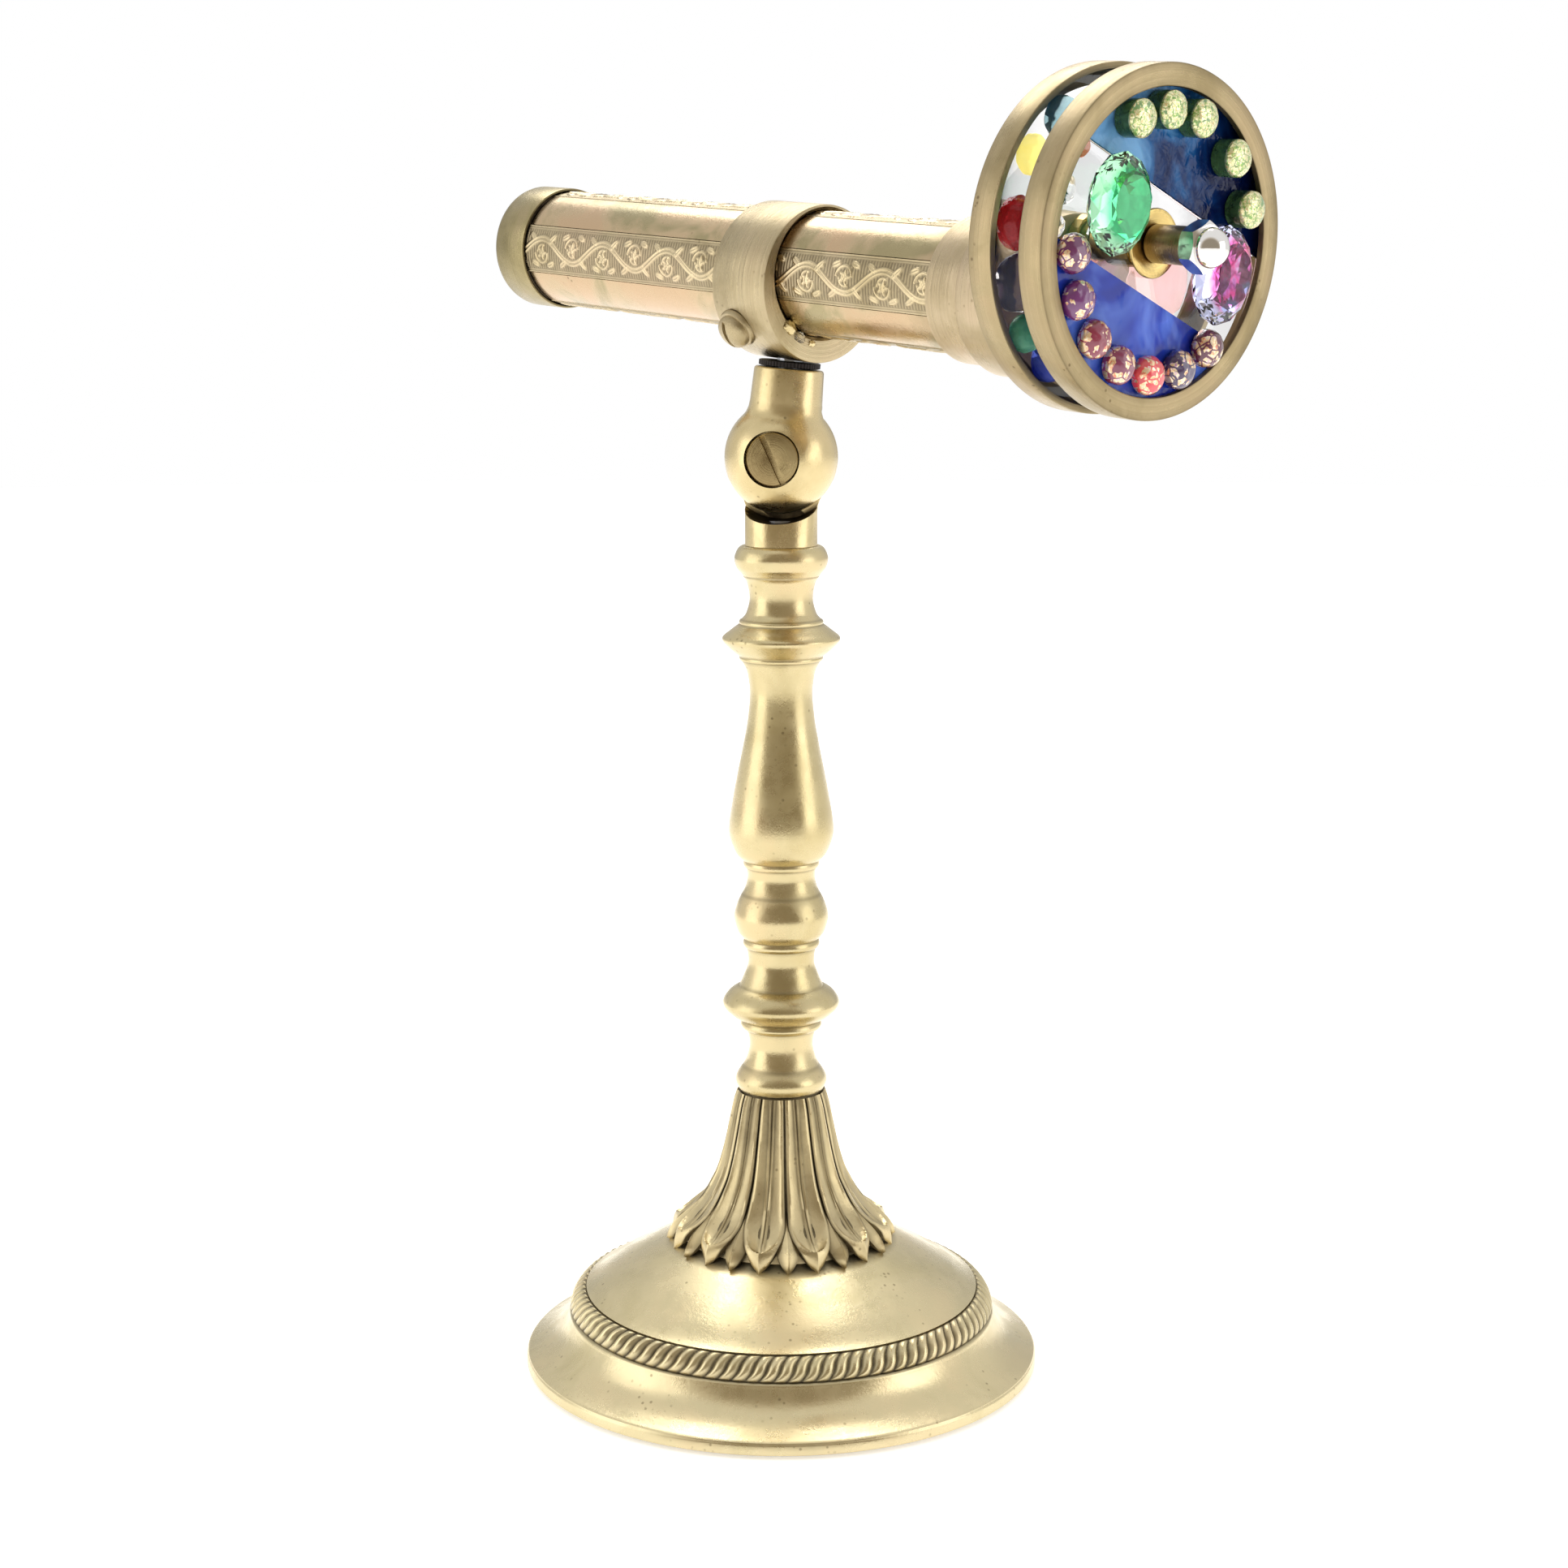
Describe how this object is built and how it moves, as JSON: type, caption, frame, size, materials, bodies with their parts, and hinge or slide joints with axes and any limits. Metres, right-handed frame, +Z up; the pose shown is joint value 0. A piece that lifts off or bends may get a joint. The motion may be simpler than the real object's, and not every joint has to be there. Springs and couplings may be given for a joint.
{
  "type": "kaleidoscope",
  "caption": "Table kaleidoscope: engraved brass barrel in a clamp ring on a turned pedestal with a tilting knuckle, and jewelled glass wheels turning on an axle at its front.",
  "frame": {"origin": "middle of the foot's underside, on the felt pad's resting face", "axes": "+Z up the column, +X the barrel's heading from the eyepiece to the wheels"},
  "size_m": [0.2736, 0.15, 0.365],
  "materials": {
    "brass": "antique satin",
    "engraved_brass": "engraved antique, mottled",
    "steel": "satin",
    "blackened_steel": "blackened, knurled",
    "nickel": "polished nickel",
    "felt": "felt",
    "mirror": "front silvered",
    "black_card": "matt",
    "foam": "foam",
    "clear_glass": "clear",
    "teal_glass": "dark transparent",
    "cobalt_glass": "transparent",
    "green_glass": "faceted transparent",
    "pink_glass": "faceted transparent",
    "yellow_glass": "transparent",
    "red_glass": "transparent",
    "green_foil_glass": "glass over gold foil",
    "red_foil_glass": "glass over gold foil"
  },
  "bodies": {
    "stand": {"felt_pad": "felt", "base_foot": "brass", "leaf_collar": "brass", "column": "brass", "tie_rod": "steel", "tie_rod_washer": "steel", "tie_rod_nut": "steel", "knuckle_lower": "brass"},
    "neck": {"knuckle_upper": "brass", "knuckle_spring_washer": "steel", "knuckle_screw": "brass"},
    "head": {"barrel_ring": "brass", "ring_screw_washer": "brass", "ring_screw": "brass", "ring_stud": "steel", "mirror_left": "mirror", "mirror_right": "mirror", "mirror_blank": "black_card", "mirror_packing": "foam", "barrel_tube": "engraved_brass", "eyepiece_cap": "brass", "eyepiece_lens": "clear_glass", "end_window": "clear_glass", "front_collar": "brass", "axle": "steel", "rear_spacer": "brass", "middle_spacer": "brass", "hub_washer": "brass", "hub_sleeve": "brass", "acorn_nut": "nickel"},
    "lock_ring_body": {"lock_ring": "blackened_steel"},
    "rear_wheel": {"rear_wheel_rim": "brass", "rear_wheel_glass": "clear_glass", "rear_wheel_bush": "brass", "rear_yellow_piece": "yellow_glass", "rear_red_piece": "red_glass", "rear_clear_piece": "clear_glass", "rear_green_piece": "green_glass", "rear_blue_piece": "cobalt_glass", "rear_teal_piece": "teal_glass", "rear_pink_piece": "pink_glass"},
    "front_wheel": {"front_wheel_rim": "brass", "front_band_glass": "clear_glass", "front_upper_glass": "teal_glass", "front_lower_glass": "cobalt_glass", "front_wheel_bush": "brass", "front_green_jewel": "green_glass", "front_pink_jewel": "pink_glass", "green_bead_1": "green_foil_glass", "green_bead_2": "green_foil_glass", "green_bead_3": "green_foil_glass", "green_bead_4": "green_foil_glass", "green_bead_5": "green_foil_glass", "red_bead_1": "red_foil_glass", "red_bead_2": "red_foil_glass", "red_bead_3": "red_foil_glass", "red_bead_4": "red_foil_glass", "red_bead_5": "red_foil_glass", "red_bead_6": "red_foil_glass", "red_bead_7": "red_foil_glass"}
  },
  "joints": [
    {"name": "knuckle_tilt", "type": "hinge", "parent": "stand", "child": "neck", "pos_m": [0, 0, 0.2647], "axis": [0.6157, -0.788, 0], "range_deg": [-84, 94]},
    {"name": "barrel_swivel", "type": "hinge", "parent": "neck", "child": "head", "pos_m": [0.00373, 0.00291, 0.31568], "axis": [0.0728, 0.0569, 0.9957], "continuous": true},
    {"name": "lock_ring_turn", "type": "hinge", "parent": "head", "child": "lock_ring_body", "pos_m": [0.00188, 0.00147, 0.29049], "axis": [0.0728, 0.0569, 0.9957], "range_deg": [0, 60]},
    {"name": "rear_wheel_spin", "type": "hinge", "parent": "head", "child": "rear_wheel", "pos_m": [0.11625, 0.00377, 0.32254], "axis": [0.9973, 0, -0.0729], "continuous": true},
    {"name": "front_wheel_spin", "type": "hinge", "parent": "head", "child": "front_wheel", "pos_m": [0.13268, 0.00377, 0.32134], "axis": [0.9973, 0, -0.0729], "continuous": true}
  ]
}
